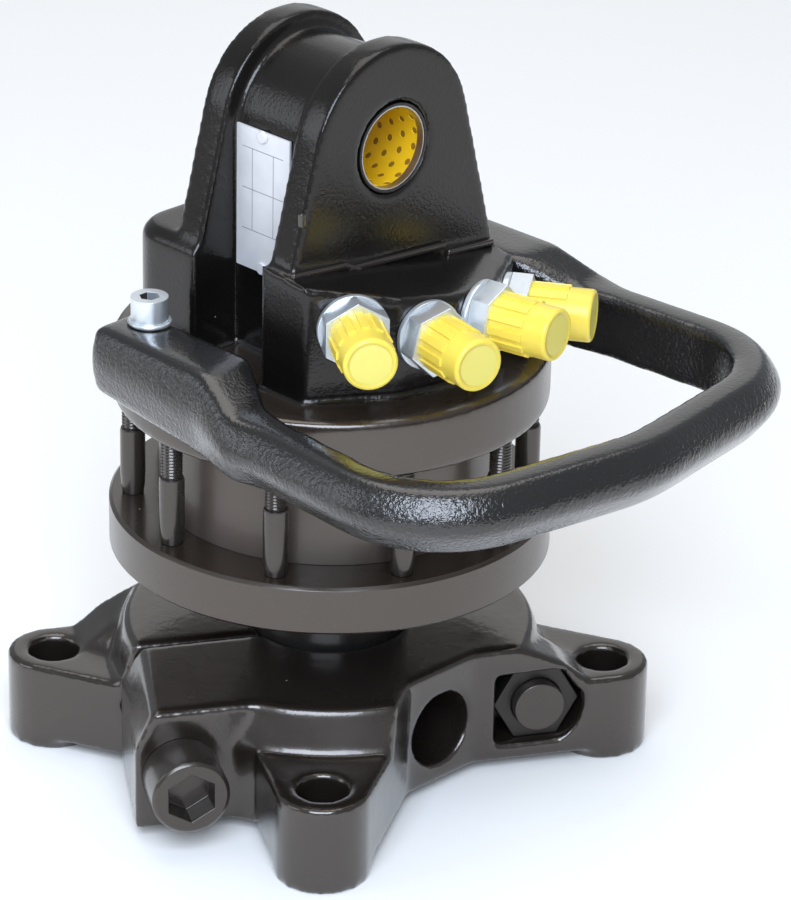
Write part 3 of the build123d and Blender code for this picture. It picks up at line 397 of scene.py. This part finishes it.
flash_wide = 0.0021
flash_lines = (
    ((-0.0410, -0.0258, 0.1768), (-0.0205, -0.0258, 0.1745)),
    ((-0.0205, -0.0258, 0.1745), (-0.0165, -0.0270, 0.1726)),
    ((-0.0185, -0.0264, 0.1732), (0.0205, -0.0259, 0.1697)),
    ((0.0225, -0.0270, 0.1672), (0.0410, -0.0262, 0.1652)),
    ((-0.0366, -0.0242, 0.1940), (-0.0364, -0.0242, 0.1914)),
)
flash = bmesh.new()
for start, end in flash_lines:
    run = Vector(end) - Vector(start)
    fin = bmesh.ops.create_cube(flash, size=1.0)["verts"]
    bmesh.ops.scale(flash, verts=fin, vec=(flash_wide, flash_wide, run.length + flash_wide))
    bmesh.ops.rotate(
        flash, verts=fin, cent=(0, 0, 0), matrix=run.to_track_quat("Z", "Y").to_matrix()
    )
    bmesh.ops.translate(flash, verts=fin, vec=(Vector(start) + Vector(end)) / 2)
ease_edges(flash, 0.0007, segments=3)
show_piece("casting_flash", flash, "head", [hub_paint])

# Link pin bush: a thin steel tube pressed into the eye, lined with yellow bearing plastic
# whose rows of round pockets are coloured a darker brown. Its end was painted over with the
# head, and only the edge of the bore is bare steel.
bush_bore = 0.0125
lining_outer = 0.0129
shell_outer = 0.0139
bare_end = 0.0014
lining_rows = 20
lining_columns = 32
pocket_radius = 0.00118


def bush_tube(inner, outer, half, rows):
    """A tube along Y through the lug's eye, closed at both ends."""
    tube = bmesh.new()
    bore = [
        tube.verts.new((inner, -half + 2 * half * row / rows, eye_height))
        for row in range(rows + 1)
    ]
    wall = [tube.verts.new((outer, y, eye_height)) for y in (half, -half)]
    loop = bore + wall
    sides = [tube.edges.new((loop[i - 1], loop[i])) for i in range(len(loop))]
    bmesh.ops.spin(
        tube, geom=loop + sides, axis=(0, 1, 0), cent=(0, 0, eye_height), dvec=(0, 0, 0),
        angle=2 * pi, steps=lining_columns * 2 if rows == 1 else lining_columns, use_merge=True,
    )
    bmesh.ops.remove_doubles(tube, verts=tube.verts, dist=1e-6)
    bmesh.ops.recalc_face_normals(tube, faces=tube.faces)
    return tube


shell = bush_tube(lining_outer, shell_outer, lug_half - 0.0001, 1)
ease_edges(shell, 0.0002)
show_piece("bush_shell", shell, "head", [cast_paint], ["pin_bush"])

lining_half = lug_half - 0.0003
lining = bush_tube(bush_bore, lining_outer - 0.00001, lining_half, lining_rows)
pockets = []
for face in lining.faces:
    centre = face.calc_center_median()
    if Vector((centre.x, centre.z - eye_height)).length > bush_bore + 0.0001:
        continue
    turn = atan2(centre.z - eye_height, centre.x) / (2 * pi) + 0.5
    column = int(turn * lining_columns)
    row = int((centre.y / lining_half + 1) / 2 * lining_rows)
    if row % 4 == 1 and column % 2 == 0 or row % 4 == 3 and column % 2 == 1:
        pockets.append(face)
bmesh.ops.inset_individual(lining, faces=pockets, thickness=0.00008, depth=0.0)
for face in pockets:
    for side in list(face.edges):
        bmesh.utils.edge_split(side, side.verts[0], 0.5)
    centre = face.calc_center_median()
    for corner in face.verts:
        corner.co = centre + (corner.co - centre).normalized() * pocket_radius
bmesh.ops.inset_individual(lining, faces=pockets, thickness=0.0001, depth=-0.0003)
for face in lining.faces:
    if abs(face.calc_center_median().y) > lining_half - bare_end:
        face.material_index = 2
for face in pockets:
    face.material_index = 1
lining_yellow = brushed_coat(
    "lining_yellow", (0.70, 0.42, 0.008),
    peel=900, depth=0.00001, roughness=0.4, coat=0.1, calm_top=0.0, dust=0.0,
)
darker_pocket_brown = brushed_coat(
    "darker_pocket_brown", (0.22, 0.115, 0.01),
    peel=900, depth=0.00001, roughness=0.45, coat=0.2, calm_top=0.0, dust=0.0,
)
rim_steel = bare_metal(
    "rim_steel", (0.55, 0.54, 0.53),
    roughness=0.34, streaks=600, depth=0.00002,
)
show_piece(
    "bush_lining", lining, "head", [lining_yellow, darker_pocket_brown, rim_steel]
)

# Nameplate: a blank satin aluminium plate with printed frame lines and no lettering, held
# to the lug's web by two drive rivets with low domed heads.
plate_front = -0.0273
plate_low, plate_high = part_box("nameplate")
plate_lines = 0.00028
plate_silver = bare_metal(
    "plate_silver", (0.73, 0.71, 0.71),
    roughness=0.42, streaks=1500, depth=0.000008, metallic=0.3,
)
plate = merged_shape("nameplate")
ease_edges(plate, 0.00018)
show_piece("blank_nameplate", plate, "head", [plate_silver], ["nameplate"])
rivets = merged_shape("nameplate_rivets")
ease_edges(rivets, 0.0004, segments=3)
show_piece("drive_rivets", rivets, "head", [plate_silver], ["nameplate_rivets"])

middle_y = (plate_low[1] + plate_high[1]) / 2
fields = bmesh.new()
for offset_y, offset_z, wide, tall in (
    (-0.0045, 0.0030, plate_lines, 0.026),
    (0.0045, 0.0030, plate_lines, 0.026),
    (0.0, 0.0160, 0.0175, plate_lines),
    (0.0, 0.0030, 0.0175, plate_lines),
    (0.0, -0.0100, 0.0175, plate_lines),
):
    line = bmesh.ops.create_cube(fields, size=1.0)["verts"]
    bmesh.ops.scale(fields, verts=line, vec=(0.00006, wide, tall))
    spot = (plate_front, middle_y + offset_y, (plate_low[2] + plate_high[2]) / 2 + offset_z)
    bmesh.ops.translate(fields, verts=line, vec=spot)
print_grey = brushed_coat(
    "print_grey", (0.25, 0.26, 0.29),
    peel=900, depth=0.000004, roughness=0.5, coat=0.0, calm_top=0.0, dust=0.0,
)
show_piece("plate_lines", fields, "head", [print_grey])

# Tie bolts: ten M6 screws from below that clamp the lower flange, the ring and the head
# together. Above the flange each wears a turned sleeve, and above the sleeve its thread
# is bare. They are painted with the rest.
tie_circle = 0.061
tie_count = 10
tie_first = radians(12.5 - 90)
thread_pitch = 0.001
sleeve_sides = 28
sleeve_profile = [
    (0.0030, 0.0859), (0.0033, 0.0860), (0.0037, 0.0885), (0.0039, 0.0930),
    (0.0039, 0.1068), (0.0036, 0.1076), (0.0031, 0.1078),
]
for turn in range(12):
    sleeve_profile.append((0.0031, 0.1079 + turn * thread_pitch))
    sleeve_profile.append((0.00335, 0.1084 + turn * thread_pitch))
sleeve_profile.append((0.0030, 0.1199))
tie_bolts = merged_shape("tie_bolts")
ease_edges(tie_bolts, 0.0004)
show_piece("tie_screws", tie_bolts, "head", [screw_paint], ["tie_bolts"])
sleeves = bmesh.new()
for index in range(tie_count):
    angle = tie_first + 2 * pi * index / tie_count
    foot = Vector((tie_circle * cos(angle), tie_circle * sin(angle), 0))
    corners = [sleeves.verts.new(foot + Vector((r, 0, z))) for r, z in sleeve_profile]
    sides = [sleeves.edges.new((corners[i - 1], corners[i])) for i in range(len(corners))]
    bmesh.ops.spin(
        sleeves, geom=corners + sides, axis=(0, 0, 1), cent=foot, dvec=(0, 0, 0),
        angle=2 * pi, steps=sleeve_sides, use_merge=True,
    )
bmesh.ops.remove_doubles(sleeves, verts=sleeves.verts, dist=1e-6)
bmesh.ops.recalc_face_normals(sleeves, faces=sleeves.faces)
show_piece("tie_sleeves", sleeves, "head", [screw_paint])

# Hose ports: four adapters with 19 mm hexagons, each screwed against a wide sealing
# washer. Turned steel with bright, slightly blue zinc plating.
zinc_plate = bare_metal(
    "zinc_plate", (0.76, 0.79, 0.81),
    roughness=0.32, streaks=650, depth=0.00002, metallic=0.8,
)
for fitting in ("port_washers", "port_adapter_1", "port_adapter_2", "port_adapter_3",
                "port_adapter_4"):
    body = merged_shape(fitting)
    ease_edges(body, 0.00045, segments=2)
    show_piece(fitting + "_zinc", body, "head", [zinc_plate], [fitting])

# Dust caps: soft yellow plastic, moulded with finger ribs round the grip and a thin raised
# rim on the end, pushed over the adapters' threads.
cap_rim = 0.0009
cap_dish = 0.00035
cap_yellow = bpy.data.materials.new("cap_yellow")
cap_yellow.use_nodes = True
cap_shader = cap_yellow.node_tree.nodes["Principled BSDF"]
cap_shader.inputs["Subsurface Weight"].default_value = 0.25
cap_shader.inputs["Subsurface Radius"].default_value = (0.004, 0.0022, 0.0004)
cap_shader.inputs["Subsurface Scale"].default_value = 1.0
cap_place = cap_yellow.node_tree.nodes.new("ShaderNodeTexCoord")
cap_cloud = cap_yellow.node_tree.nodes.new("ShaderNodeTexNoise")
cap_cloud.inputs["Scale"].default_value = 120.0
cap_cloud.inputs["Detail"].default_value = 3.0
cap_tint = cap_yellow.node_tree.nodes.new("ShaderNodeMix")
cap_tint.data_type = "RGBA"
cap_tint.inputs["A"].default_value = (0.89, 0.63, 0.07, 1)
cap_tint.inputs["B"].default_value = (0.91, 0.70, 0.11, 1)
cap_gloss = cap_yellow.node_tree.nodes.new("ShaderNodeMapRange")
cap_gloss.inputs["To Min"].default_value = 0.26
cap_gloss.inputs["To Max"].default_value = 0.42
cap_grain = cap_yellow.node_tree.nodes.new("ShaderNodeTexNoise")
cap_grain.inputs["Scale"].default_value = 1100.0
cap_rise = cap_yellow.node_tree.nodes.new("ShaderNodeBump")
cap_rise.inputs["Distance"].default_value = 0.00002
cap_links = cap_yellow.node_tree.links
cap_links.new(cap_place.outputs["Object"], cap_cloud.inputs["Vector"])
cap_links.new(cap_place.outputs["Object"], cap_grain.inputs["Vector"])
cap_links.new(cap_cloud.outputs["Fac"], cap_tint.inputs["Factor"])
cap_links.new(cap_tint.outputs["Result"], cap_shader.inputs["Base Color"])
cap_links.new(cap_cloud.outputs["Fac"], cap_gloss.inputs["Value"])
cap_links.new(cap_gloss.outputs["Result"], cap_shader.inputs["Roughness"])
cap_links.new(cap_grain.outputs["Fac"], cap_rise.inputs["Height"])
cap_links.new(cap_rise.outputs["Normal"], cap_shader.inputs["Normal"])
# A paler copy of the yellow for the end faces, which face the light: painted light, lighter than
# the shaded sides.
cap_end_painted_light = cap_yellow.copy()
cap_end_painted_light.name = "cap_end_painted_light"
for node in cap_end_painted_light.node_tree.nodes:
    if node.bl_idname == "ShaderNodeMix":
        node.inputs["A"].default_value = (0.85, 0.69, 0.155, 1)
        node.inputs["B"].default_value = (0.87, 0.73, 0.185, 1)
for number, port_turn in enumerate((-33, -12, 12, 33), start=1):
    outward = Vector((sin(radians(port_turn)), -cos(radians(port_turn)), 0))
    cap = merged_shape("dust_cap_%d" % number)
    reach = max(corner.co.dot(outward) for corner in cap.verts)
    ends = [face for face in cap.faces if face.calc_center_median().dot(outward) > reach - 1e-5]
    bmesh.ops.inset_region(
        cap, faces=ends, thickness=cap_rim, depth=0.0, use_boundary=True, use_even_offset=True
    )
    bmesh.ops.translate(
        cap, verts=list({corner for face in ends for corner in face.verts}), vec=outward * -cap_dish
    )
    # The end faces take the paler, painted-light yellow.
    for face in ends:
        face.material_index = 1
    ease_edges(cap, 0.0003, segments=2, sharpest=30.0)
    show_piece("dust_cap_%d_moulded" % number, cap, "head",
               [cap_yellow, cap_end_painted_light],
               ["dust_cap_%d" % number])

# Hose guard: a forged bow with a pad at each end, bolted on the head's flange round the
# hoses. Its outer side keeps the rough forged skin under the paint, its top is smoother.
guard_paint = brushed_coat(
    "guard_black_paint", (0.0085, 0.0082, 0.0084),
    peel=850, depth=0.0003, roughness=0.25, coat=0.95, calm_top=0.7, shine=0.4,
)
guard = cast_skin(merged_shape("hose_guard"), grain=0.0011, passes=24)
show_piece("hose_guard_forged", guard, "head", [guard_paint], ["hose_guard"])

# Guard screws and their washers: M6 socket head screws, zinc plated. Shade and old dirt
# The hexagon sockets of their heads are painted dark, as painted shade and old dirt.
socket_reach = 0.0030
screw_head_radius = 0.005
screw_head_height = 0.006
socket_shade_and_dirt = brushed_coat(
    "socket_shade_and_dirt", (0.02, 0.019, 0.018),
    peel=900, depth=0.00001, roughness=0.6, coat=0.0,
)
screws_low, screws_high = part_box("guard_screws")
screw_side = screws_high[0] - screw_head_radius
screw_place = (screws_low[1] + screws_high[1]) / 2
for fastener in ("guard_screws", "guard_washers"):
    bright = merged_shape(fastener)
    ease_edges(bright, 0.0005, segments=3)
    # Faces inside the hexagon sockets take the painted shade and dirt.
    for face in bright.faces:
        centre = face.calc_center_median()
        if (Vector((abs(centre.x) - screw_side, centre.y - screw_place)).length < socket_reach
                and screws_high[2] - screw_head_height < centre.z < screws_high[2] - 0.0003):
            face.material_index = 1
    show_piece(
        fastener + "_zinc", bright, "head", [zinc_plate, socket_shade_and_dirt], [fastener]
    )

# Studio: a pale paper floor that runs past the frame on all sides, under soft lamps in a
# dim room, so that the black paint mirrors the floor on its upright faces and the dark
# room on its tops.
floor_mesh = bpy.data.meshes.new("floor")
sheet = bmesh.new()
bmesh.ops.create_grid(sheet, x_segments=1, y_segments=1, size=6.0)
sheet.to_mesh(floor_mesh)
sheet.free()
floor = bpy.data.objects.new("floor", floor_mesh)
bpy.context.scene.collection.objects.link(floor)
floor_paper = bpy.data.materials.new("floor_paper")
floor_paper.use_nodes = True
paper_shader = floor_paper.node_tree.nodes["Principled BSDF"]
paper_shader.inputs["Base Color"].default_value = (0.97, 0.93, 0.88, 1)
paper_shader.inputs["Roughness"].default_value = 0.9
floor_mesh.materials.append(floor_paper)

room = bpy.data.worlds.new("room")
room.use_nodes = True
room.node_tree.nodes["Background"].inputs["Color"].default_value = (0.85, 0.92, 1.0, 1)
room.node_tree.nodes["Background"].inputs["Strength"].default_value = 0.36
bpy.context.scene.world = room


def soft_box(name, spot, aim, size, power, colour=(1, 1, 1)):
    """A square studio lamp at a spot, facing a point."""
    lamp = bpy.data.lights.new(name, "AREA")
    lamp.size = size
    lamp.energy = power
    lamp.color = colour
    holder = bpy.data.objects.new(name, lamp)
    bpy.context.scene.collection.objects.link(holder)
    holder.location = spot
    holder.rotation_euler = (Vector(aim) - Vector(spot)).to_track_quat("-Z", "Y").to_euler()


soft_box("window", (-1.05, -0.95, 1.25), (0, 0, 0.1), 1.2, 47, (0.70, 0.82, 1.0))
soft_box("ceiling", (0.25, 0.2, 1.7), (0, 0, 0), 1.3, 10, (1.0, 0.99, 0.97))
soft_box("left_wall", (-1.4, 0.9, 0.75), (0, 0, 0.12), 0.9, 5, (0.84, 0.91, 1.0))
soft_box("back_wall", (1.35, 1.3, 0.9), (0, 0, 0.1), 1.3, 2.4, (1.0, 0.97, 0.93))

# Camera: a long lens from the front left, 25 degrees above the part
lens = bpy.data.cameras.new("camera")
lens.sensor_width = 36.0
lens.lens = 173.93
camera = bpy.data.objects.new("camera", lens)
bpy.context.scene.collection.objects.link(camera)
heading, pitch, roll = 45.252, 25.023, 1.150
camera.location = (-0.84973, -0.87045, 0.66739)
camera.rotation_euler = (
    Matrix.Rotation(radians(-heading), 3, "Z")
    @ Matrix.Rotation(radians(90 - pitch), 3, "X")
    @ Matrix.Rotation(radians(roll), 3, "Z")
).to_euler()
bpy.context.scene.camera = camera
bpy.context.scene.view_settings.view_transform = "Standard"
